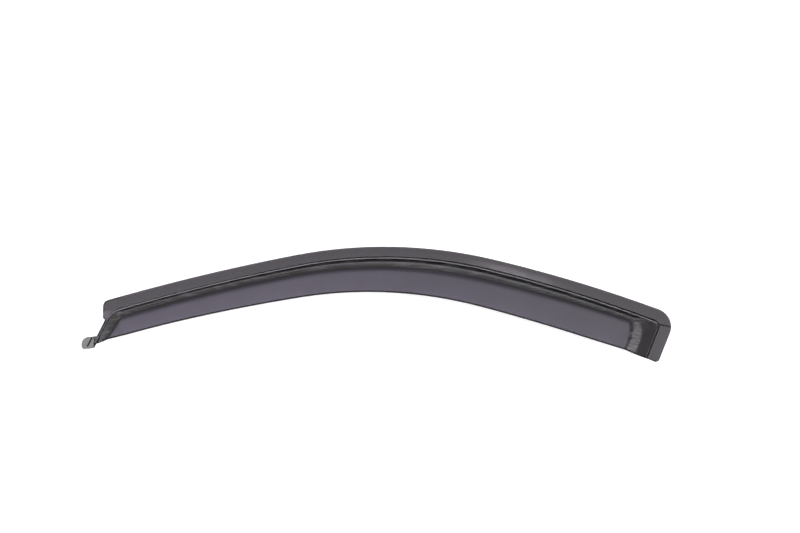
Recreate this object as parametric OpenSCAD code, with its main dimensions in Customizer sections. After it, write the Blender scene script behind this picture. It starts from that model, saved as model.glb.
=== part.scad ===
// Front-door window rain deflector, lying with its outer face up.
// X runs along the door frame towards the rear, Y up the window, Z away from the glass.

/* [Frame line] */
// Length of the front stretch of the flange's outer edge
front_len = 333; // [250:1:420]
// Radius of the front stretch
front_r = 3590; // [2000:10:6000]
// Length of the crown, where the edge turns over the mirror end of the roof
crown_len = 341; // [260:1:420]
// Radius of the crown
crown_r = 788; // [650:1:1200]
// Length of the rear stretch
rear_len = 293; // [220:1:380]
// Radius of the rear stretch
rear_r = 2390; // [1500:10:5000]
// Slope of the outer edge at its front end, above the X axis
front_slope = 16.5; // [10:0.1:22]

/* [Flange] */
// Flange width at the front end
flange_w_front = 20.2; // [16:0.1:24]
// Flange width at the middle of the frame line
flange_w_mid = 18.6; // [15:0.1:24]
// Flange width at the rear end and down the leg
flange_w_rear = 21.8; // [16:0.1:26]
// Thickness of the sheet
sheet_t = 3; // [2:0.1:4]
// Radius of the sheet's upper edges
edge_r = 1; // [0.4:0.1:1.4]
// Length of the flange's upright front end, from its corner down
end_len = 28; // [24:0.5:30]
// Radius of the flange's front corner
end_r = 10; // [5:0.5:14]

/* [Shoulder] */
// Width of the raised bead between the groove and the blade
bead_w = 2.4; // [1.6:0.1:3.2]
// Height of the bead above the flange
bead_h = 0.8; // [0.4:0.1:1.4]
// Width of the relief groove outside the bead at the front
groove_w_front = 0.9; // [0.5:0.1:1.6]
// Width of the relief groove at the rear, down the leg and across the corner
groove_w_rear = 2.2; // [1:0.1:2.8]
// Depth of the relief groove
groove_d = 1.2; // [0.4:0.1:1.6]
// Angle round the rear corner at which the cross groove leaves the bead
seam_at = 45; // [30:1:60]
// Angle between the cross groove and the end of the frame line
seam_turn = 7; // [0:0.5:15]

/* [Blade] */
// Overall width at the front, from the outer edge to the free edge
width_front = 68.5; // [60:0.5:80]
// Overall width at the rear
width_rear = 90.5; // [80:0.5:105]
// Length along the frame line over which the blade widens
widen_len = 817; // [600:1:900]
// Straight end of the free edge, measured along the frame line
straight_len = 110; // [80:1:160]
// How far the blade stands off above the flange near the nose
rise_front = 12; // [8:0.5:18]
// How far the blade stands off above the flange where it is fullest
rise_crown = 22.5; // [16:0.5:30]
// How far the blade stands off above the flange at the rear
rise_rear = 16.5; // [10:0.5:24]
// Place along the frame line where the blade is fullest
crown_at = 660; // [560:5:760]
// Distance along the frame line over which the blade keeps its front height
front_run = 150; // [80:5:220]
// Distance from the top shoulder in which the blade rises near the nose
reach_front = 22; // [18:0.5:30]
// Distance from the top shoulder in which the blade rises where it is fullest
reach_crown = 27; // [20:0.5:36]
// Distance from the top shoulder in which the blade rises at the rear
reach_rear = 20; // [16:0.5:30]
// Fullness of the rise from the top shoulder: higher is steeper at the shoulder
fullness = 2.4; // [1.8:0.1:2.8]
// Distance from the nose edge in which the blade rises, at the top shoulder
nose_reach = 21; // [16:0.5:30]
// Distance from the nose edge in which the blade rises, at the tip
tip_reach = 14; // [11:0.5:20]
// Fullness of the rise from the nose edge: 1 is a straight ramp
nose_fullness = 1.4; // [1.1:0.1:2.4]
// Distance from the rear leg in which the blade rises
leg_reach = 35; // [28:1:44]
// Length of the gentle ramp at the foot of that rise
leg_ramp = 18; // [8:1:22]
// Share of the rise that the gentle ramp takes
leg_gentle = 0.35; // [0.2:0.05:0.6]
// How much further that ramp reaches in at its rounded upper corner
leg_round = 22; // [0:1:30]
// Distance from the top shoulder over which that corner is rounded
leg_blend = 40; // [20:1:60]
// Outward lean of the blade beyond the rise
lean = 2; // [0:0.5:4]

/* [Nose] */
// Length of the straight front edge, from the tip up
nose_len = 45; // [36:0.5:56]
// Radius from the front edge into the top shoulder
nose_r = 38; // [30:1:46]
// Angle between the front edge and the top shoulder
nose_turn = 48.5; // [38:0.5:56]
// Distance along the frame line at which the nose starts to turn
nose_start = 25; // [20:1:40]
// Width of the lip outside the shoulder on the front edge
lip_w = 2.2; // [1.8:0.1:3]

/* [Rear leg] */
// Radius of the flange's outer corner at the rear
corner_r = 31; // [27:0.5:42]
// Angle through which the flange turns down into the leg
leg_turn = 91.7; // [84:0.1:100]
// Length of the leg along its shoulder
leg_len = 55; // [45:0.5:68]
// Radius of the leg's lower outer corner
foot_r = 5; // [3:0.5:8]

/* [Locating tab] */
// How far the tab reaches beyond the tip of the nose
tab_len = 21.5; // [18:0.5:32]
// Width of the tab
tab_w = 19.4; // [18.4:0.2:23]
// How far the tab reaches below the tip of the nose
tab_drop = 6.5; // [5:0.5:8]
// Thickness of the tab
tab_t = 2.8; // [2:0.1:3.2]
// Height of the tab's underside above the glass
tab_z = 0.6; // [0.3:0.1:0.9]
// Slope of the tab's long sides
tab_slope = 6; // [0:0.5:10]
// How far the tab runs in under the nose
tab_root = 3; // [2:0.5:4]
// Radius of the tab's upper far corner
tab_upper_r = 12; // [6:0.5:12]
// Radius of the tab's lower far corner
tab_lower_r = 4; // [3:0.5:6]
// Width of the slot across the tab
slot_w = 2.6; // [1.6:0.1:3.4]
// Depth of the slot
slot_d = 2; // [1:0.1:2.4]
// Distance of the slot from the front edge
slot_gap = 5; // [3.5:0.1:6]
// Wall left between the slot's end and the tab's lower side
slot_wall = 3.4; // [2:0.1:5]

/* [Adhesive tape] */
// Thickness of the foam tape
tape_t = 1.1; // [0.8:0.1:1.6]
// Distance kept between the tape and the edges of the flange
tape_margin = 2; // [1:0.1:3]
// Gap between the top tape and the leg tape
tape_gap = 2; // [1:0.1:4]
// Angle round the nose at which the top tape ends
tape_turn = 18; // [12:0.5:24]

/* [Smoothness] */
// Length of one step along the frame line
step = 21; // [18:1:30]
// Steps across the blade
rows = 16; // [8:1:18]
// Length of one step along the straight end of the free edge
end_step = 6; // [6:1:20]

/* [Hidden] */

// Heights of the two faces of the flange above the glass
z_under = tape_t;
z_top = z_under + sheet_t;
frame_len = front_len + crown_len + rear_len;

// Steps along the nose edge, round the nose, round the rear corner, down the leg and round its foot
nose_steps = 6;
turn_steps = 8;
corner_steps = 12;
leg_steps = 10;
foot_steps = 3;
// Steps round the flange's front corner and a far corner of the tab
round_steps = 3;
tab_steps = 6;
// Steps gather towards the shoulder by this power
row_power = 1.4;
// Length of the first and last steps across the blade, which lie along the free edge
end_w = 8;
// Shares of the straight free edge met by the top shoulder and by the rear corner
top_share = 0.58;
corner_share = 0.16;
// Largest share of the rise that the gentle ramp may take
gentle_most = 0.85;
// How far a cut runs past the body
over = 1;
// Edge rounding: share of its radius that the sheet has lost at the middle of the rounding
round_mid = 0.3;
// Bead: [share of its width, share of its height] from the groove to the blade
bead_form = [[0.12, 0.75], [0.25, 1], [0.55, 0.85], [0.85, 0.6]];
// Groove: shares of its width at which its floor begins and ends
groove_floor = [0.62, 0.38];
// Largest share of a narrow stretch that groove, edge rounding or bead may take
groove_share = 0.3;
edge_share = 0.7;
bead_share = 0.35;
free_share = 0.05;

function along(h) = [cos(h), sin(h)];
function left(h) = [-sin(h), cos(h)];
function mix(a, b, u) = a + (b - a) * u;
function ease(u) = u <= 0 ? 0 : u >= 1 ? 1 : u * u * (3 - 2 * u);
function degrees(x) = x * 180 / PI;
function unit(v) = v / norm(v);
function up(p, z) = [p[0], p[1], z];

// Point at length s along a clockwise arc that starts at p with heading h
function arc_point(p, h, r, s) =
    let (a = degrees(s / r)) p + r * [sin(h) - sin(h - a), cos(h - a) - cos(h)];

// The frame line is the flange's outer edge: three arcs, each tangent to the next
slope_1 = front_slope - degrees(front_len / front_r);
slope_2 = slope_1 - degrees(crown_len / crown_r);
slope_3 = slope_2 - degrees(rear_len / rear_r);
start_0 = [0, 0];
start_1 = arc_point(start_0, front_slope, front_r, front_len);
start_2 = arc_point(start_1, slope_1, crown_r, crown_len);
rear_from = front_len + crown_len;

function frame_slope(s) =
    s < front_len ? front_slope - degrees(s / front_r)
    : s < rear_from ? slope_1 - degrees((s - front_len) / crown_r)
    : slope_2 - degrees((s - rear_from) / rear_r);
function frame_point(s) =
    s < front_len ? arc_point(start_0, front_slope, front_r, s)
    : s < rear_from ? arc_point(start_1, slope_1, crown_r, s - front_len)
    : arc_point(start_2, slope_2, rear_r, s - rear_from);

// Flange width through its front, middle and rear values
function flange_w(s) =
    let (u = s / frame_len)
    flange_w_front * (1 - u) * (1 - 2 * u)
    + flange_w_mid * 4 * u * (1 - u)
    + flange_w_rear * u * (2 * u - 1);
function total_w(s) = mix(width_front, width_rear, ease(s / widen_len));

// Value along the frame line that keeps its front value, swells to the fullest place and falls to the rear
function swell(s, front, crown, rear) =
    s < crown_at ? mix(front, crown, ease((s - front_run) / (crown_at - front_run)))
    : mix(crown, rear, ease((s - crown_at) / (frame_len - crown_at)));
function rise(s) = swell(s, rise_front, rise_crown, rise_rear);
function reach(s) = swell(s, reach_front, reach_crown, reach_rear);
function groove_w(s) = mix(groove_w_front, groove_w_rear, ease(s / frame_len));
function shoulder_point(s) = frame_point(s) - flange_w(s) * left(frame_slope(s));
function free_point(s) = frame_point(s) - total_w(s) * left(frame_slope(s));

// Nose: an arc from the top shoulder into the straight front edge
nose_slope_0 = frame_slope(nose_start);
nose_slope = nose_slope_0 + nose_turn;
nose_centre = shoulder_point(nose_start) - nose_r * left(nose_slope_0);
nose_top = nose_centre + nose_r * left(nose_slope);
tip = nose_top - nose_len * along(nose_slope);
free_front = free_point(nose_start);
free_dir = unit(free_front - tip);

// Rear leg: an arc round the corner, then straight down
leg_slope = slope_3 - leg_turn;
corner_centre = frame_point(frame_len) - corner_r * left(slope_3);
shoulder_r = corner_r - flange_w_rear;
leg_top = corner_centre + shoulder_r * left(leg_slope);
leg_foot = leg_top + leg_len * along(leg_slope);

// The free edge ends in a straight run to the leg's foot
straight_from = frame_len - straight_len;
straight_start = free_point(straight_from);
straight_run = norm(leg_foot - straight_start);
function straight_point(u) = mix(straight_start, leg_foot, u);
function free_at(s) =
    s <= straight_from ? free_point(s)
    : straight_point(top_share * (s - straight_from) / straight_len);

// Share of the full rise at a distance from the top shoulder or the nose edge, and from the rear leg
function share(x, power) = x <= 0 ? 0 : x >= 1 ? 1 : 1 - pow(1 - x, power);
function leg_share(d, inward) =
    let (ramp = leg_ramp + inward, low = min(leg_gentle * ramp / leg_ramp, gentle_most))
    d <= 0 ? 0 : d >= leg_reach + inward ? 1 : d < ramp ? low * d / ramp
    : mix(low, 1, (d - ramp) / (leg_reach - leg_ramp));

// The blade's height above the flange
function blade_rise(p, full, wall, foot, out) =
    let (from_top = max((foot - p) * out - bead_w, 0),
         nose_up = max(min((p - tip) * along(nose_slope) / nose_len, 1), 0))
    (full + from_top * tan(lean)) * share(from_top / wall, fullness)
    * share(((tip - p) * left(nose_slope) - bead_w) / mix(tip_reach, nose_reach, nose_up), nose_fullness)
    * leg_share((leg_top - p) * left(leg_slope) - bead_w,
                leg_round * pow(1 - min(from_top / leg_blend, 1), 2));

// A station is [outer point, shoulder point, outward direction, free point, full rise, reach of the
// top wall, groove width, groove depth, foot of the top wall, its outward direction]
function nose_station(i) =
    let (u = i / nose_steps, n = left(nose_slope), p = tip + nose_len * u * along(nose_slope))
    [p + lip_w * n, p, n, tip + mix(end_w, nose_len, u) * free_dir, rise(0), reach(0), groove_w(0), 0,
     shoulder_point(nose_start), left(nose_slope_0)];

// The flange's front end: up from the lip, round its corner and on to the frame line
end_turn = 90 - front_slope;
end_tangent = end_r * tan(end_turn / 2);
end_centre = end_tangent * along(front_slope) - end_r * left(front_slope);
end_path = concat(
    [nose_top + lip_w * left(nose_slope), [0, -end_len], [0, mix(-end_len, end_centre[1], 0.5)]],
    [for (i = [0:round_steps]) end_centre + end_r * left(mix(90, front_slope, i / round_steps))],
    [frame_point(mix(end_tangent, nose_start, 0.5)), frame_point(nose_start)]);

function turn_station(i) =
    let (u = i / turn_steps, h = mix(nose_slope, nose_slope_0, u), run = norm(free_front - tip))
    [end_path[i], nose_centre + nose_r * left(h), left(h), tip + mix(nose_len, run, u) * free_dir,
     rise(0), reach(0), groove_w(0), groove_d * ease(u),
     shoulder_point(nose_start), left(nose_slope_0)];

function frame_station(s) =
    [frame_point(s), shoulder_point(s), left(frame_slope(s)), free_at(s), rise(s), reach(s),
     groove_w(s), groove_d, shoulder_point(s), left(frame_slope(s))];

function corner_station(i) =
    let (u = i / corner_steps, h = slope_3 - leg_turn * u)
    [corner_centre + corner_r * left(h), corner_centre + shoulder_r * left(h), left(h),
     straight_point(top_share + corner_share * u), rise(frame_len), reach(frame_len), groove_w_rear,
     groove_d, shoulder_point(frame_len), left(slope_3)];

// t is the length down the leg's shoulder; a is the angle round the foot's outer corner
leg_last = 1 - end_w / straight_run;
function leg_station(t, a) =
    let (n = left(leg_slope), d = along(leg_slope), down = leg_len - foot_r + foot_r * sin(a))
    [leg_top + min(t, down) * d + (flange_w_rear - foot_r * (1 - cos(a))) * n, leg_top + t * d, n,
     straight_point(mix(top_share + corner_share, leg_last, t / leg_len)), rise(frame_len),
     reach(frame_len), groove_w_rear, groove_d, shoulder_point(frame_len), left(slope_3)];

// Places of the stations along the frame line, closer together along the straight end
frame_steps = ceil((straight_from - nose_start) / step);
end_steps = ceil(straight_len / end_step);
frame_places = concat(
    [for (i = [0:frame_steps]) mix(nose_start, straight_from, i / frame_steps)],
    [for (i = [1:end_steps]) mix(straight_from, frame_len, i / end_steps)]);
stations = concat(
    [for (i = [0:nose_steps - 1]) nose_station(i)],
    [for (i = [0:turn_steps - 1]) turn_station(i)],
    [for (s = frame_places) frame_station(s)],
    [for (i = [1:corner_steps]) corner_station(i)],
    [for (i = [1:leg_steps]) leg_station((leg_len - foot_r) * i / leg_steps, 0)],
    [for (i = [1:foot_steps]) leg_station(leg_len - foot_r * (1 - i / foot_steps), 90 * i / foot_steps)]);

// Outer face of the flange at a station, from its edge in to the shoulder
function flange_face(o, r, n, gw, gd) =
    let (g = min(gw, groove_share * norm(o - r)), brink = r + g * n, d = unit(brink - o),
         e = min(edge_r, edge_share * norm(brink - o)))
    concat(
        [up(o, z_top - e), up(o + round_mid * e * d, z_top - round_mid * e), up(o + e * d, z_top)],
        [up(brink, z_top)],
        [for (c = groove_floor) up(r + c * g * n, z_top - gd)],
        [up(r, z_top)]);

// Section through the sheet at a station: outer face inwards, then back along the inner face
function section(st) =
    let (r = st[1], f = st[3], run = norm(f - r), e = unit(f - r),
         bw = min(bead_w / abs(e * st[2]), bead_share * run), er = min(edge_r, free_share * run),
         us = [for (k = [0:rows]) pow(k / rows, row_power)],
         ds = [for (u = us) mix(bw, run - er, u)],
         raw = [for (d = ds) blade_rise(r + d * e, st[4], st[5], st[8], st[9])],
         zs = [for (k = [0:rows]) z_top + max(raw[k] - raw[0] * (1 - us[k]), 0)],
         tilt = [for (k = [0:rows]) let (a = max(k - 1, 0), b = min(k + 1, rows))
                 atan2(zs[b] - zs[a], ds[b] - ds[a])],
         deep = [for (k = [0:rows]) let (a = tilt[k])
                 max(zs[k] - sheet_t * (cos(a) + us[k] * sin(a) * tan(a)), z_under)])
    concat(
        flange_face(st[0], r, st[2], st[6], st[7]),
        [for (b = bead_form) up(r + b[0] * bw * e, z_top + b[1] * bead_h)],
        [for (k = [0:rows]) up(r + ds[k] * e, zs[k])],
        [up(f - round_mid * er * e, zs[rows] - round_mid * er), up(f, zs[rows] - er), up(f, deep[rows])],
        [for (k = [rows - 1:-1:1]) up(r + (ds[k] + sheet_t * sin(tilt[k]) * (1 - us[k])) * e, deep[k])],
        [up(r + (bw + min(sheet_t * tan(tilt[0] / 2), ds[1] - bw)) * e, z_under), up(r, z_under),
         up(st[0], z_under)]);

sections = [for (st = stations) section(st)];
ring = len(sections[0]);
// Places in a section of the shoulder's upper and lower points
shoulder_at = 6;
under_at = ring - 2;

// Skin between sections, and the two ends, each split at the shoulder
last = len(sections) - 1;
skin = [for (i = [0:last - 1]) for (k = [0:ring - 1])
    let (a = i * ring + k, b = i * ring + (k + 1) % ring)
    each [[a, a + ring, b], [b, a + ring, b + ring]]];
function cap(i) = [
    [for (k = [0:shoulder_at]) i * ring + k, i * ring + under_at, i * ring + ring - 1],
    [for (k = [shoulder_at:under_at]) i * ring + k]];
function flip(faces) = [for (f = faces) [for (k = [len(f) - 1:-1:0]) f[k]]];

// Locating tab, in its own directions: u outwards from the tip, v up
tab_out = -along(tab_slope);
tab_up = left(tab_slope);
tab_top = tab_w - tab_drop;
// Run of the front edge for each unit up the tab
nose_run = 1 / tan(nose_slope - tab_slope);
nose_thick = 1 / sin(nose_slope - tab_slope);
function tab_point(u, v) = tip + u * tab_out + v * tab_up;
function tab_round(u, v, r, from, to) =
    [for (i = [0:tab_steps]) let (a = mix(from, to, i / tab_steps))
        tab_point(u + r * cos(a), v + r * sin(a))];
tab_outline = concat(
    [tab_point(-nose_run * tab_top - tab_root, tab_top)],
    tab_round(tab_len - tab_upper_r, tab_top - tab_upper_r, tab_upper_r, 90, 0),
    tab_round(tab_len - tab_lower_r, tab_lower_r - tab_drop, tab_lower_r, 0, -90),
    [tab_point(nose_run * tab_drop - tab_root, -tab_drop)]);
// Distance of a line parallel to the front edge, measured along the tab
function slot_line(u, v) = tab_point(u * nose_thick - nose_run * v, v);
slot_low = slot_wall - tab_drop;
slot_near = lip_w + slot_gap;
slot_outline = [
    slot_line(slot_near, slot_low), slot_line(slot_near + slot_w, slot_low),
    slot_line(slot_near + slot_w, tab_top + over), slot_line(slot_near, tab_top + over)];

// Cross groove over the rear corner, along the gap between the two tapes
seam_slope = slope_3 + seam_turn;
seam_start = corner_centre + shoulder_r * left(slope_3 - seam_at);
seam_half = groove_w_rear / 2;
seam_floor = (groove_floor[0] - groove_floor[1]) * seam_half;

// Middle of the outline, where the part has its origin
outline = concat([for (st = stations) each [st[0], st[3]]], tab_outline);
xs = [for (p = outline) p[0]];
ys = [for (p = outline) p[1]];
middle = [(min(xs) + max(xs)) / 2, (min(ys) + max(ys)) / 2];

module plate(points, from, to) {
    translate([-middle[0], -middle[1], from])
        linear_extrude(to - from)
            polygon(points);
}

module cross_groove() {
    translate([seam_start[0] - middle[0], seam_start[1] - middle[1], z_top])
        rotate([90, 0, seam_slope + 90])
            translate([0, 0, seam_half])
                linear_extrude(corner_r - seam_half)
                    polygon([[-seam_half, 0], [-seam_floor, -groove_d], [seam_floor, -groove_d],
                             [seam_half, 0], [seam_half, over], [-seam_half, over]]);
}

module shell() {
    translate([-middle[0], -middle[1], 0])
        polyhedron([for (s = sections) each s], concat(skin, cap(0), flip(cap(last))));
}

module visor() {
    color("dimgray")
        difference() {
            union() {
                shell();
                plate(tab_outline, tab_z, tab_z + tab_t);
            }
            cross_groove();
            plate(slot_outline, tab_z + tab_t - slot_d, tab_z + tab_t + over);
        }
}

// Where the line beside the cross groove, at a distance to its left, meets a circle round the corner
function seam_hit(side, r) =
    let (q = seam_start + side * left(seam_slope) - corner_centre, b = q * along(seam_slope))
    q + along(seam_slope) * (sqrt(b * b - q * q + r * r) - b);
function hit_turn(side, r) = let (q = seam_hit(side, r)) slope_3 + 90 - atan2(q[1], q[0]);

tape_in = shoulder_r + tape_margin;
tape_out = corner_r - tape_margin;
tape_half = tape_gap / 2;
function corner_arc(r, from, to) = [for (i = [0:corner_steps])
    corner_centre + r * left(slope_3 - mix(from, to, i / corner_steps))];

// The top tape's front end runs level from the nose to the flange's front end
tape_end = nose_centre + (nose_r + tape_margin) * left(nose_slope_0 + tape_turn);
tape_steps = ceil((frame_len - nose_start) / step);
tape_places = [for (i = [0:tape_steps]) mix(nose_start, frame_len, i / tape_steps)];

module top_tape() {
    color("black")
        plate(concat(
            [[tape_margin, tape_end[1]]],
            [for (i = [0:round_steps]) end_centre
                + (end_r - tape_margin) * left(mix(90, front_slope, i / round_steps))],
            [for (s = tape_places) frame_point(s) - tape_margin * left(frame_slope(s))],
            corner_arc(tape_out, 0, hit_turn(tape_half, tape_out)),
            corner_arc(tape_in, hit_turn(tape_half, tape_in), 0),
            [for (k = [len(tape_places) - 1:-1:0]) let (s = tape_places[k])
                shoulder_point(s) + tape_margin * left(frame_slope(s))],
            [for (i = [1:round_steps]) nose_centre
                + (nose_r + tape_margin) * left(nose_slope_0 + tape_turn * i / round_steps)]),
            0, tape_t);
}

module leg_tape() {
    color("black")
        plate(concat(
            corner_arc(tape_out, hit_turn(-tape_half, tape_out), leg_turn),
            [for (c = [[leg_len - foot_r, tape_out], [leg_len - tape_margin, tape_out - foot_r + tape_margin],
                       [leg_len - tape_margin, tape_in]])
                corner_centre + c[0] * along(leg_slope) + c[1] * left(leg_slope)],
            corner_arc(tape_in, leg_turn, hit_turn(-tape_half, tape_in))),
            0, tape_t);
}

visor();
top_tape();
leg_tape();
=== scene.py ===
# %% [markdown]
# # A smoked window rain deflector, seen from above
#
# A rain deflector is one long sheet of smoked acrylic, heated and drawn over a mould. A flat flange
# runs along its upper edge and is stuck to the door frame with foam tape. The blade stands off the
# glass, so a window can stay open a little in the rain.
#
# The lesson dresses a measured model: the sizes come from the frame that is loaded first, and every
# step after that adds only surface. All lengths are in metres.

# %% Load the frame
import bpy
import bmesh
import math
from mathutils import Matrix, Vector
from mathutils.kdtree import KDTree


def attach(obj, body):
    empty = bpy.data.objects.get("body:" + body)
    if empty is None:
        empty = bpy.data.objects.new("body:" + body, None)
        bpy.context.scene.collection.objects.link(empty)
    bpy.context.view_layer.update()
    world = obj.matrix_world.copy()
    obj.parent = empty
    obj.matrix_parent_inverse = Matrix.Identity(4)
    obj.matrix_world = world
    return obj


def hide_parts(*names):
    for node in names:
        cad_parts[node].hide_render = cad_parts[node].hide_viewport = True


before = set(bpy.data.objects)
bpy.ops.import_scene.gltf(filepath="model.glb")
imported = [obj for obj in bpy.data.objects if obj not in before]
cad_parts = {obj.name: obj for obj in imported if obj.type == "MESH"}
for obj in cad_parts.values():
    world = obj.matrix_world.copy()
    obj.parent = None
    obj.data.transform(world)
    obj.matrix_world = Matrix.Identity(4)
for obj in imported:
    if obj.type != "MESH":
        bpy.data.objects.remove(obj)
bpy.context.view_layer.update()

# %% [markdown]
# ## Helpers
#
# Operators work on whatever is selected, so each step starts by clearing the selection. Two short
# helpers keep that habit: one picks a single object, the other clears the lot. A third counts the
# triangles of a piece, for the lines that are printed.

# %% Pick, clear and count
def pick_none():
    bpy.ops.object.select_all(action="DESELECT")


def pick(thing):
    pick_none()
    thing.select_set(True)
    bpy.context.view_layer.objects.active = thing
    return thing


def triangles(thing):
    return sum(len(face.vertices) - 2 for face in thing.data.polygons)


# %% [markdown]
# ## The visor's sheet
#
# The sheet is a loft: one section of flange, groove, bead, wall and blade is carried along the door
# frame. The real one is a flat sheet of acrylic, warmed until it sags and drawn down over a mould,
# and its outline is cut last. The measured mesh already has that form, made of loose flat triangles.
# It could be drawn again from curves, but then two forms would have to agree. It is simpler to copy
# the mesh, join its triangles and give the copy good normals.

# %% Copy the sheet and join its triangles
JOIN_DISTANCE = 0.00002

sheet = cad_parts["visor"].copy()
sheet.data = sheet.data.copy()
sheet.name = "smoked_sheet"
sheet.data.name = "smoked_sheet"
bpy.context.scene.collection.objects.link(sheet)
pick(sheet)
bpy.ops.mesh.customdata_custom_splitnormals_clear()
bpy.ops.object.mode_set(mode="EDIT")
bpy.ops.mesh.select_all(action="SELECT")
bpy.ops.mesh.remove_doubles(threshold=JOIN_DISTANCE)
bpy.ops.object.mode_set(mode="OBJECT")
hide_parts("visor")
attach(sheet, "root")
print("sheet joined:", len(sheet.data.vertices), "points,", triangles(sheet), "triangles")

# %% [markdown]
# The outline is cut after forming and its corners are rounded, and in the photograph it is almost
# black against the white table. Those faces get a material slot of their own. They are found by
# their form: faces that stand upright, and the rounded ones within a millimetre and a half of them.
# The slot in the tab and the fine groove beside the bead are as dark there from shade, so they join
# them as painted shade. The rest of the tab gets a slot of painted light. The slanted lip of the
# nose looks pale instead, from a highlight, so it later gets a slot of painted highlight.

# %% Find the cut edges and the faces of painted shade
UPRIGHT = 0.05
EDGE_REACH = 0.0015
LEVEL_FACE = 0.97
FACING_UP = 0.1
NOSE_TOP = Vector((-0.4504, -0.0146, 0))
NOSE_TIP = Vector((-0.4780, -0.0300, 0))
NOSE_STRIP = 0.0028
PAST_TIP = 1.05
GROOVE_LOW, GROOVE_HIGH = 0.0028, 0.00405
GROOVE_START = -0.44
TAB_X = -0.4775
TAB_TOP_Z = 0.0034
TAB_SLACK = 0.0001
SLOT_DEEP, SLOT_HIGH = 0.001, 0.003
FACE, EDGE_AND_SHADE, LIT_TAB, LIP = 0, 1, 2, 3


def on_nose(middle):
    along = NOSE_TIP - NOSE_TOP
    share = (middle - NOSE_TOP).dot(along) / along.length_squared
    nearest = NOSE_TOP + along * share
    return 0 < share < PAST_TIP and math.dist(nearest[:2], middle[:2]) < NOSE_STRIP


def in_groove(middle, normal):
    deep = GROOVE_LOW < middle.z < GROOVE_HIGH
    return middle.x > GROOVE_START and deep and normal.z > FACING_UP


def sort_faces(thing):
    mesh = bmesh.new()
    mesh.from_mesh(thing.data)
    upright = {face for face in mesh.faces if abs(face.normal.z) < UPRIGHT}
    rim = {point for face in upright for point in face.verts}
    tree_of_rim = KDTree(len(rim))
    for number, point in enumerate(rim):
        tree_of_rim.insert(point.co, number)
    tree_of_rim.balance()
    near = {point for point in mesh.verts if tree_of_rim.find(point.co)[2] < EDGE_REACH}
    for face in mesh.faces:
        middle = face.calc_center_median()
        # Painted light: the tab's faces get an opaque light grey slot.
        on_tab = middle.x < TAB_X and middle.z < TAB_TOP_Z + TAB_SLACK
        in_slot = on_tab and SLOT_DEEP < middle.z < SLOT_HIGH
        bent = FACING_UP < face.normal.z < LEVEL_FACE
        rounded = bent and near.issuperset(face.verts)
        # Painted shade: the slot in the tab and the fine groove beside the bead take the cut edge's
        # near-black.
        dark_edge_and_shade_face = face in upright or rounded or in_slot or in_groove(middle, face.normal)
        face.material_index = EDGE_AND_SHADE if dark_edge_and_shade_face else LIT_TAB if on_tab else FACE
    kinds = [face.material_index for face in mesh.faces]
    counts = [kinds.count(kind) for kind in (FACE, EDGE_AND_SHADE, LIT_TAB)]
    mesh.to_mesh(thing.data)
    mesh.free()
    return counts


sheet.data.materials.clear()
for _ in (FACE, EDGE_AND_SHADE, LIT_TAB, LIP):
    bpy.ops.object.material_slot_add()
print("faces, cut edges, tab pad:", sort_faces(sheet))

# %% [markdown]
# In the photograph the dark line along the outline is a little wider than the rounded edge alone.
# What makes it so cannot be seen there, so it is simply painted as a narrow band of shade: the outer
# face is inset by that width, all along its outline, and the new faces join the cut edge's slot. The
# outline keeps its size. Where faces are narrower than the band the inset crosses itself, and that
# leaves folds in the mesh, which is a fault of this way.

# %% Inset a band of painted shade along the outline
SHADE_BAND_WIDTH = 0.0012
BAND_FACING = 0.05

pick(sheet)
bpy.ops.object.mode_set(mode="EDIT")
bpy.ops.mesh.select_mode(type="FACE")
bpy.ops.mesh.select_all(action="DESELECT")
bpy.ops.object.mode_set(mode="OBJECT")
for face in sheet.data.polygons:
    groove = in_groove(face.center, face.normal)
    face.select = (face.material_index == FACE or groove) and face.normal.z > BAND_FACING
bpy.ops.object.mode_set(mode="EDIT")
bpy.ops.mesh.inset(thickness=SHADE_BAND_WIDTH, depth=0.0, use_boundary=True, use_even_offset=True,
                   use_select_inset=True)
bpy.ops.object.mode_set(mode="OBJECT")
# The band's faces take the cut edge's near-black: painted shade.
shade_band = [face for face in sheet.data.polygons if face.select]
for face in shade_band:
    face.material_index = EDGE_AND_SHADE
# The nose's stretch of the outline gets the painted highlight instead.
lip = [face for face in sheet.data.polygons if face.material_index == EDGE_AND_SHADE and on_nose(face.center)]
for face in lip:
    face.material_index = LIP
print("faces in the band:", len(shade_band), "and on the lip:", len(lip))

# %% [markdown]
# A formed sheet is smooth wherever it bends gently and crisp where it was cut or pressed into a
# groove. So edges under thirty degrees are shaded smooth and the others stay sharp. The flange is
# one wide flat face beside narrow rounded ones. Plain smooth shading would tilt its normals right
# across, and it would look dished in a mirror finish. Weighting the normals by face size keeps it
# flat.

# %% Smooth the bends and keep the flats flat
SHARP_ANGLE = math.radians(30)
FACE_WEIGHT = 50

pick(sheet)
bpy.ops.object.shade_smooth_by_angle(angle=SHARP_ANGLE)
bpy.ops.object.modifier_add(type="WEIGHTED_NORMAL")
weighting = sheet.modifiers[-1]
weighting.keep_sharp = True
weighting.weight = FACE_WEIGHT
bpy.ops.object.modifier_apply(modifier=weighting.name)
print("weighted normals:", sheet.data.has_custom_normals)

# %% [markdown]
# ## A small kit for node materials
#
# Every material here is grown from noise on Object coordinates, so it needs no pictures and stays
# with the piece. These helpers keep each shader down to the few lines that say what is special.

# %% A small kit for node materials
def new_material(name):
    material = bpy.data.materials.new(name)
    material.use_nodes = True
    tree = material.node_tree
    shader = tree.nodes["Principled BSDF"]
    return material, tree, shader


def add_node(tree, kind, **settings):
    node = tree.nodes.new(kind)
    for key, value in settings.items():
        setattr(node, key, value)
    return node


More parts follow.
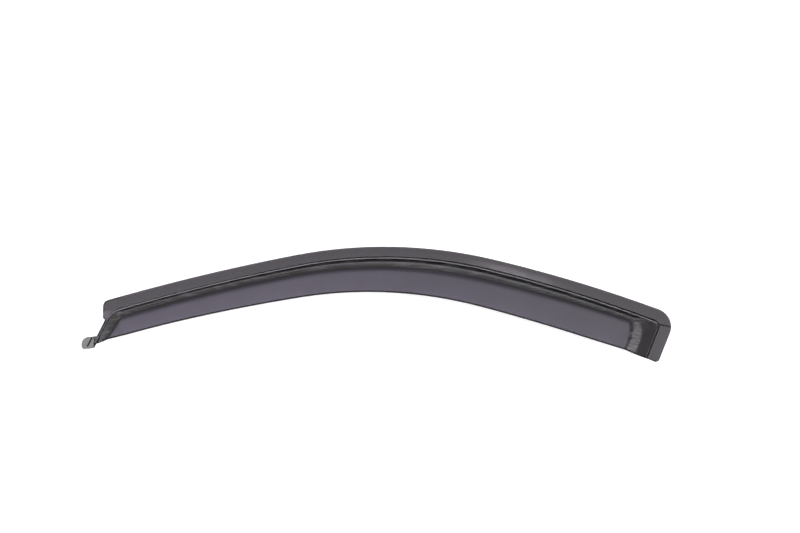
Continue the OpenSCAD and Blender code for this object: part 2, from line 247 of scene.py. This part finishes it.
def object_place(tree, scale=(1, 1, 1), turn=0.0):
    place = add_node(tree, "ShaderNodeTexCoord")
    mapping = add_node(tree, "ShaderNodeMapping")
    mapping.inputs["Scale"].default_value = scale
    mapping.inputs["Rotation"].default_value = (0, 0, turn)
    tree.links.new(place.outputs["Object"], mapping.inputs["Vector"])
    return mapping.outputs["Vector"]


def noise(tree, vector, scale, detail=3.0, roughness=0.5):
    node = add_node(tree, "ShaderNodeTexNoise")
    node.inputs["Scale"].default_value = scale
    node.inputs["Detail"].default_value = detail
    node.inputs["Roughness"].default_value = roughness
    tree.links.new(vector, node.inputs["Vector"])
    return node.outputs["Fac"]


def stretch(tree, value, low, high, out_low, out_high):
    node = add_node(tree, "ShaderNodeMapRange")
    limits = {"From Min": low, "From Max": high, "To Min": out_low, "To Max": out_high}
    for key, number in limits.items():
        node.inputs[key].default_value = number
    tree.links.new(value, node.inputs["Value"])
    return node.outputs["Result"]


def blend_colours(tree, factor, first, second):
    node = add_node(tree, "ShaderNodeMix", data_type="RGBA")
    tree.links.new(factor, node.inputs[0])
    for socket, colour in ((node.inputs[6], first), (node.inputs[7], second)):
        if isinstance(colour, tuple):
            socket.default_value = (*colour, 1)
        else:
            tree.links.new(colour, socket)
    return node.outputs[2]


# %% Sums, axes and bumps
def calculate(tree, operation, first, second=None, **settings):
    node = add_node(tree, "ShaderNodeMath", operation=operation, **settings)
    for socket, value in zip(node.inputs, (first, second)):
        if isinstance(value, (int, float)):
            socket.default_value = value
        elif value is not None:
            tree.links.new(value, socket)
    return node.outputs[0]


def axes(tree, vector):
    node = add_node(tree, "ShaderNodeSeparateXYZ")
    tree.links.new(vector, node.inputs[0])
    return node.outputs


def add_bump(tree, shader, height, strength, distance):
    bump = add_node(tree, "ShaderNodeBump")
    bump.inputs["Strength"].default_value = strength
    bump.inputs["Distance"].default_value = distance
    tree.links.new(height, bump.inputs["Height"])
    tree.links.new(bump.outputs["Normal"], shader.inputs["Normal"])


# %% [markdown]
# ## Smoked acrylic
#
# Smoked acrylic is clear plastic with a grey-violet dye right through it. The eye sees two things
# added up: the studio mirrored in the polished face, and a little of the table through the sheet.
# It could be made as a dark opaque gloss, but then nothing would show through the blade. So the
# shader has full transmission, and a dark base colour for the dye. The blade looks a little paler
# towards the nose, so the dye thins out that way, and soft clouds keep it uneven. On steep faces the
# colour falls towards black. Light that crosses a steep wall has a longer way through the dye, but
# most of this dark is painted shade, for the shaded table seen through the wall. On the steepest
# faces fine pale lines break it: a painted reflection of streaks in the studio.

# %% The dye in the sheet, with painted shade and a painted reflection on steep faces
DYE_DEEP = (0.058, 0.050, 0.078)
DYE_PALE = (0.090, 0.078, 0.123)
REAR_X, NOSE_X = 0.40, -0.42
REAR_SHARE, NOSE_SHARE = 0.1, 0.9
CLOUD_SCALE = 14.0
CLOUD_SHARE = 0.2
# Painted shade: steep faces go near black, for the shaded table that a wall looks down on.
STEEP_PAINTED_SHADE = (0.015, 0.0145, 0.0155)
PAINTED_REFLECTION_LINES = (0.100, 0.098, 0.104)
STEEP, LEVEL = 0.955, 0.995
LINES_BELOW, LINES_GONE = 0.86, 0.91
LINE_STRETCH = (30, 280, 30)
LINE_TURN = math.radians(-12)

acrylic, tree, shader = new_material("smoked_acrylic")
haze = noise(tree, object_place(tree), CLOUD_SCALE, detail=4.0)
cloud = stretch(tree, haze, 0.35, 0.65, -CLOUD_SHARE, CLOUD_SHARE)
where = axes(tree, object_place(tree))
thinned = stretch(tree, where["X"], REAR_X, NOSE_X, REAR_SHARE, NOSE_SHARE)
pale_share = calculate(tree, "ADD", cloud, thinned, use_clamp=True)
dye = blend_colours(tree, pale_share, DYE_DEEP, DYE_PALE)
facing = add_node(tree, "ShaderNodeNewGeometry")
level = calculate(tree, "ABSOLUTE", axes(tree, facing.outputs["Normal"])["Z"])
flatness = stretch(tree, level, STEEP, LEVEL, 0.0, 1.0)
# Painted reflection: pale lines on the steepest faces, for streaks in the studio.
reflection_streaks = noise(tree, object_place(tree, scale=LINE_STRETCH, turn=LINE_TURN), 1.0, detail=3.0)
reflection_lines = calculate(tree, "MULTIPLY", stretch(tree, reflection_streaks, 0.48, 0.68, 0.0, 1.0),
                  stretch(tree, level, LINES_BELOW, LINES_GONE, 1.0, 0.0))
steep_shade_and_reflection = blend_colours(tree, reflection_lines, STEEP_PAINTED_SHADE, PAINTED_REFLECTION_LINES)
tree.links.new(blend_colours(tree, flatness, steep_shade_and_reflection, dye), shader.inputs["Base Color"])
print("dye nodes:", len(tree.nodes))

# %% [markdown]
# The outer face is polished. Fine scuffs break its gloss, and a very low bump gives the faint ripple
# that a drawn sheet keeps. The index is 1.54, where plain acrylic has 1.49, and the mirror image has
# a faint tint. Both were fitted to the reflections in the photograph, and nothing else speaks for
# them.

# %% The polished face
ACRYLIC_IOR = 1.54
MIRROR_TINT = (1.0, 0.94, 1.0)
SCUFF_STRETCH = (1, 9, 1)
SCUFF_TURN = math.radians(35)
POLISHED, SCUFFED = 0.05, 0.16

scuffs = noise(tree, object_place(tree, scale=SCUFF_STRETCH, turn=SCUFF_TURN), 60.0, detail=6.0)
tree.links.new(stretch(tree, scuffs, 0.55, 0.8, POLISHED, SCUFFED), shader.inputs["Roughness"])
ripple = noise(tree, object_place(tree), 22.0, detail=1.0)
add_bump(tree, shader, ripple, strength=0.25, distance=0.0004)
shader.inputs["IOR"].default_value = ACRYLIC_IOR
shader.inputs["Specular Tint"].default_value = (*MIRROR_TINT, 1)
shader.inputs["Transmission Weight"].default_value = 1.0
print("acrylic nodes:", len(tree.nodes))

# %% [markdown]
# ## The cut edge and painted shade, the tab's painted light and the lip's painted highlight
#
# The cut edge is the same plastic, but fine marks scatter the light, so it is dull and almost black.
# A dark rough colour, opaque, with noise for the marks is enough for a line this thin. The same
# near-black also paints the shade in the fine groove beside the bead, in the slot of the tab and in
# the band along the outline.

# %% The cut edge's shader, which also paints shade
# Near black for the dull cut edge, and painted shade in the groove, the slot and the band.
EDGE_AND_SHADE_BLACK = (0.008, 0.008, 0.009)
EDGE_DUST = (0.026, 0.025, 0.028)

edge_and_shade_material, tree, shader = new_material("sawn_edge_and_painted_shade")
marks = noise(tree, object_place(tree, scale=(1, 1, 6)), 900.0, detail=4.0)
dusty = stretch(tree, marks, 0.45, 0.75, 0.0, 1.0)
tree.links.new(blend_colours(tree, dusty, EDGE_AND_SHADE_BLACK, EDGE_DUST), shader.inputs["Base Color"])
tree.links.new(stretch(tree, marks, 0.3, 0.7, 0.45, 0.7), shader.inputs["Roughness"])
shader.inputs["Specular IOR Level"].default_value = 0.15
print("edge nodes:", len(tree.nodes))

# %% [markdown]
# The tab looks light grey and slightly grainy, perhaps from a pad that grips behind the trim at the
# mirror's corner. Its light grey is painted light: it stands in for the lit table seen through the
# thin tab. It is opaque, and one fine noise gives its colour, its roughness and its bump, so that
# the grains agree.

# %% The tab's shader, with painted light
# Painted light: light grey for the lit table seen through the thin tab; the grain is the tab's own.
LIT_TAB_GREY = (0.115, 0.112, 0.115)
LIT_TAB_PALE = (0.21, 0.205, 0.21)

lit_tab, tree, shader = new_material("tab_painted_light")
grain = noise(tree, object_place(tree), 700.0, detail=5.0, roughness=0.6)
grains = stretch(tree, grain, 0.35, 0.65, 0.0, 1.0)
tree.links.new(blend_colours(tree, grains, LIT_TAB_GREY, LIT_TAB_PALE), shader.inputs["Base Color"])
tree.links.new(stretch(tree, grain, 0.3, 0.7, 0.35, 0.6), shader.inputs["Roughness"])
add_bump(tree, shader, grain, strength=0.3, distance=0.0002)
print("pad nodes:", len(tree.nodes))

# %% [markdown]
# The slanted lip of the nose is the one stretch of the outline that is pale, from a highlight along
# it. The rest of the edge is dull, and this one is given a painted highlight: a greyer colour and
# more gloss, with a soft noise to make it uneven.

# %% The lip's painted highlight
# Painted highlight: a greyer, glossier colour for the pale edge of the nose.
LIP_GREY = (0.060, 0.057, 0.062)
LIP_PALE = (0.110, 0.106, 0.112)

lip_highlight_material, tree, shader = new_material("lip_painted_highlight")
highlight_noise = noise(tree, object_place(tree), 160.0, detail=4.0)
highlight_patches = stretch(tree, highlight_noise, 0.4, 0.6, 0.0, 1.0)
tree.links.new(blend_colours(tree, highlight_patches, LIP_GREY, LIP_PALE), shader.inputs["Base Color"])
tree.links.new(stretch(tree, highlight_noise, 0.3, 0.7, 0.2, 0.35), shader.inputs["Roughness"])

for number, material in ((FACE, acrylic), (EDGE_AND_SHADE, edge_and_shade_material), (LIT_TAB, lit_tab), (LIP, lip_highlight_material)):
    sheet.material_slots[number].material = material
print("slots:", [material.name for material in sheet.data.materials])

# %% [markdown]
# ## Foam tape
#
# The tape is black closed-cell foam, about a millimetre thick. It shows at the edges and from below.
# Its cells are far smaller than a millimetre, so they are bump and a change of roughness, and a few
# paler flecks stand for dust that the sticky face picks up.

# %% The tape's shader
FOAM_DARK = (0.018, 0.018, 0.019)
FOAM_DUST = (0.05, 0.05, 0.052)

foam, tree, shader = new_material("foam_tape")
cells = noise(tree, object_place(tree), 1800.0, detail=2.0)
dust = stretch(tree, noise(tree, object_place(tree), 420.0, detail=5.0), 0.58, 0.72, 0.0, 1.0)
tree.links.new(blend_colours(tree, dust, FOAM_DARK, FOAM_DUST), shader.inputs["Base Color"])
tree.links.new(stretch(tree, cells, 0.3, 0.7, 0.78, 0.95), shader.inputs["Roughness"])
add_bump(tree, shader, cells, strength=0.5, distance=0.0002)
print("foam nodes:", len(tree.nodes))

# %% [markdown]
# The strips are copied too. Foam is cut with a blade and its edges relax into a small round. It is
# squeezed a hair's breadth below the sheet, so that the two faces do not lie in one plane.

# %% Round the strips
SQUEEZE = 0.00005
FOAM_ROUND = 0.0002
FLAT_ANGLE = math.radians(0.5)
CORNER_ANGLE = math.radians(60)
FOAM_SHARP = math.radians(50)

strips = []
for name in ("top_tape", "leg_tape"):
    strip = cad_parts[name].copy()
    strip.data = strip.data.copy()
    strip.name = "foam_" + name
    bpy.context.scene.collection.objects.link(strip)
    pick(strip)
    bpy.ops.mesh.customdata_custom_splitnormals_clear()
    bpy.ops.object.mode_set(mode="EDIT")
    bpy.ops.mesh.select_all(action="SELECT")
    bpy.ops.mesh.remove_doubles(threshold=JOIN_DISTANCE)
    bpy.ops.mesh.dissolve_limited(angle_limit=FLAT_ANGLE)
    bpy.ops.object.mode_set(mode="OBJECT")
    for point in strip.data.vertices:
        if point.co.z > SQUEEZE * 2:
            point.co.z -= SQUEEZE
    bpy.ops.object.modifier_add(type="BEVEL")
    rounding = strip.modifiers[-1]
    rounding.width = FOAM_ROUND
    rounding.segments = 2
    rounding.limit_method = "ANGLE"
    rounding.angle_limit = CORNER_ANGLE
    bpy.ops.object.modifier_apply(modifier=rounding.name)
    bpy.ops.object.shade_smooth_by_angle(angle=FOAM_SHARP)
    strip.data.materials.clear()
    strip.data.materials.append(foam)
    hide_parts(name)
    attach(strip, "root")
    strips.append(strip)
print("strips rounded:", [triangles(strip) for strip in strips])

# %% [markdown]
# ## Floor
#
# The visor lies on a white table. A plain white floor would render light grey here, and brighter
# lamps would spoil the visor. So the floor's colour is lifted towards white only for the rays of the
# camera and for those that reflect or pass through the sheet: it adds no light of its own.

# %% The white table
FLOOR_SIZE = 14.0
FLOOR_WHITE = 0.86
FLOOR_LIFT = 0.42
GLOSSY_SHARE = 0.3

pick_none()
bpy.ops.mesh.primitive_plane_add(size=FLOOR_SIZE, location=(0, 0, 0))
floor = bpy.context.active_object
floor.name = "white_table"
table_white, tree, shader = new_material("table_white")
shader.inputs["Base Color"].default_value = (FLOOR_WHITE, FLOOR_WHITE, FLOOR_WHITE, 1)
shader.inputs["Roughness"].default_value = 0.9
shader.inputs["Specular IOR Level"].default_value = 0.0
rays = add_node(tree, "ShaderNodeLightPath")
seen = rays.outputs["Is Camera Ray"]
for kind, share in (("Is Glossy Ray", GLOSSY_SHARE), ("Is Transmission Ray", 1.0)):
    part = calculate(tree, "MULTIPLY", rays.outputs[kind], share)
    seen = calculate(tree, "MAXIMUM", seen, part)
lift = calculate(tree, "MULTIPLY", seen, FLOOR_LIFT)
shader.inputs["Emission Color"].default_value = (1, 1, 1, 1)
tree.links.new(lift, shader.inputs["Emission Strength"])
floor.data.materials.append(table_white)
print("floor:", FLOOR_SIZE, "m wide")

# %% [markdown]
# ## Light
#
# A glossy dark sheet shows its surroundings more than its own colour, so the light is made for what
# each face mirrors. Lamps could do it, but a room drawn by direction is easier to shape. The numbers
# are all fitted to the photograph, and on a level face they add up to about 1.3 times plain light.
# The room is measured the way a flat face sees it: how far a direction leans across, and how far
# along, for each step that it goes up.

# %% The room by direction
FLAT_LIMIT = 0.02

world = bpy.data.worlds.new("studio_room")
bpy.context.scene.world = world
world.use_nodes = True
tree = world.node_tree
sky = tree.nodes["Background"]
direction = add_node(tree, "ShaderNodeTexCoord").outputs["Generated"]
split = axes(tree, direction)
up = calculate(tree, "MAXIMUM", split["Z"], FLAT_LIMIT)
sideways = calculate(tree, "DIVIDE", split["X"], up)
along = calculate(tree, "DIVIDE", split["Y"], up)
print("room nodes:", len(tree.nodes))

# %% [markdown]
# The flat faces look straight up into a soft box, brighter on the camera's side, and so come out mid
# grey. A small glare beside it fades across the flange behind the crown.

# %% The soft box and its glare
BOX_HALF_WIDTH = 0.3
BOX_FRONT = 0.42
BOX_BACK = 0.42
BOX_SOFT = 0.06
BOX_LIGHT_FRONT = 5.8
BOX_LIGHT_BACK = 0.9
GLARE_X, GLARE_Y = 0.047, 0.200
GLARE_SIZE = 0.021
GLARE_LIGHT = 3.2

across = calculate(tree, "ABSOLUTE", sideways)
in_width = stretch(tree, across, BOX_HALF_WIDTH, BOX_HALF_WIDTH + BOX_SOFT, 1.0, 0.0)
in_front = stretch(tree, along, -BOX_FRONT - BOX_SOFT, -BOX_FRONT, 0.0, 1.0)
in_back = stretch(tree, along, BOX_BACK, BOX_BACK + BOX_SOFT, 1.0, 0.0)
in_depth = calculate(tree, "MULTIPLY", in_front, in_back)
inside = calculate(tree, "MULTIPLY", in_width, in_depth)
off_x = calculate(tree, "SUBTRACT", sideways, GLARE_X)
off_y = calculate(tree, "SUBTRACT", along, GLARE_Y)
off_squared = calculate(tree, "ADD", calculate(tree, "MULTIPLY", off_x, off_x),
                        calculate(tree, "MULTIPLY", off_y, off_y))
off = calculate(tree, "SQRT", off_squared)
glare = stretch(tree, off, 0.0, GLARE_SIZE, GLARE_LIGHT, 0.0)
graded = stretch(tree, along, -BOX_FRONT, BOX_BACK, BOX_LIGHT_FRONT, BOX_LIGHT_BACK)
box_light = calculate(tree, "ADD", graded, glare)
print("room nodes with the box:", len(tree.nodes))

# %% [markdown]
# The steep wall and the ramps look out to the side. A bright ring lies at the horizon and a darker
# gap above it, and that draws the light and dark bands along the shoulder. Noise stands for the
# clutter of a room, so the bands are not even. A panel at the right is mirrored in the ramp beside
# the leg.

# %% The ring, the gap and the side panel
RING_TOP, GAP_LOW = 0.3, 0.5
RING_LIGHT = 1.05
GAP_LIGHT = 0.8
CLUTTER_SCALE = 5.0
CLUTTER_DARK, CLUTTER_LIGHT = 0.6, 1.25
SIDE_SPREAD = 0.72
SIDE_TOP = 0.55
SIDE_SOFT = 0.1
SIDE_LIGHT = 1.7

bands = stretch(tree, split["Z"], RING_TOP, GAP_LOW, RING_LIGHT, GAP_LIGHT)
clutter = noise(tree, direction, CLUTTER_SCALE, detail=2.0)
uneven = stretch(tree, clutter, 0.35, 0.65, CLUTTER_DARK, CLUTTER_LIGHT)
ring = calculate(tree, "MULTIPLY", bands, uneven)
on_side = stretch(tree, split["X"], SIDE_SPREAD, SIDE_SPREAD + SIDE_SOFT, 0.0, 1.0)
below_top = stretch(tree, split["Z"], SIDE_TOP, SIDE_TOP + SIDE_SOFT, 1.0, 0.0)
on_panel = calculate(tree, "MULTIPLY", on_side, below_top)
panel = calculate(tree, "MULTIPLY", on_panel, SIDE_LIGHT)
room_light = calculate(tree, "ADD", ring, panel)
print("room nodes with the ring:", len(tree.nodes))

# %% [markdown]
# The box and the room are joined into one light. The camera itself sees a plain white wall instead,
# as the photograph has it, and that takes nothing away from the visor's own light.

# %% Join the lights
WHITE_WALL = 1.0

lit = add_node(tree, "ShaderNodeMix", data_type="FLOAT")
for value, socket in ((inside, 0), (room_light, 2), (box_light, 3)):
    tree.links.new(value, lit.inputs[socket])
camera_ray = add_node(tree, "ShaderNodeLightPath")
shown = add_node(tree, "ShaderNodeMix", data_type="FLOAT")
tree.links.new(camera_ray.outputs["Is Camera Ray"], shown.inputs[0])
tree.links.new(lit.outputs[0], shown.inputs[2])
shown.inputs[3].default_value = WHITE_WALL
tree.links.new(shown.outputs[0], sky.inputs["Strength"])
sky.inputs["Color"].default_value = (1, 1, 1, 1)
print("room nodes in all:", len(tree.nodes))

# %% [markdown]
# ## Camera
#
# The camera looks down at 79 degrees, which is an estimate, from nearly four and a half metres, with
# a long lens. Its aim is the middle of the picture on the table, which lies a little above the
# visor.

# %% The camera
ELEVATION = math.radians(79)
DISTANCE = 4.42
AIM = Vector((0.0397, 0.0653, 0.0))
LENS = 117.0
SENSOR = 36.0
FARTHEST = 50.0

eye = AIM + DISTANCE * Vector((0, -math.cos(ELEVATION), math.sin(ELEVATION)))
camera_data = bpy.data.cameras.new("camera")
camera_data.lens = LENS
camera_data.sensor_width = SENSOR
camera_data.clip_end = FARTHEST
camera = bpy.data.objects.new("camera", camera_data)
camera.location = eye
camera.rotation_euler = (AIM - eye).to_track_quat("-Z", "Y").to_euler()
bpy.context.scene.collection.objects.link(camera)
bpy.context.scene.camera = camera
bpy.context.scene.view_settings.view_transform = "Standard"
print("camera at", [round(v, 3) for v in eye])
